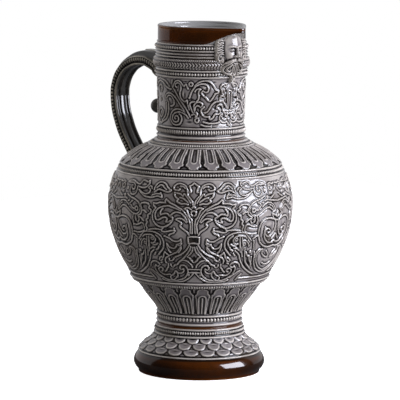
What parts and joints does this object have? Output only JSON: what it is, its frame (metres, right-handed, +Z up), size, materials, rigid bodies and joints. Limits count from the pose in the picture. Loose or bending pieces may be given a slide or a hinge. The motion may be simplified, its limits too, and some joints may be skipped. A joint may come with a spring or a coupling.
{
  "type": "majolica carafe",
  "caption": "Relief-moulded majolica carafe for pouring wine: hollow body on a spreading foot, ringed neck with a beaked lip over a bearded mask, and a beaded strap handle.",
  "frame": {"origin": "middle of the flat face that the foot stands on, on the jug's axis", "axes": "+Z up along the jug's axis; +X towards the pouring lip and the mask; the handle is on the -X side"},
  "size_m": [0.2152, 0.1744, 0.33],
  "materials": {
    "grey_glaze": "grey-olive lead glaze over relief, pale on the ridges and dark in the hollows, glossy",
    "dark_glaze": "dark grey-brown lead glaze, glossy",
    "brown_glaze": "treacle-brown lead glaze over a smooth surface, high gloss"
  },
  "bodies": {
    "root": {"base_roll": "brown_glaze", "foot": "grey_glaze", "bowl": "grey_glaze", "belly": "grey_glaze", "shoulder": "grey_glaze", "neck": "grey_glaze", "rim_collar": "brown_glaze", "mask": "grey_glaze", "handle": "dark_glaze", "handle_ball": "dark_glaze"}
  },
  "joints": []
}
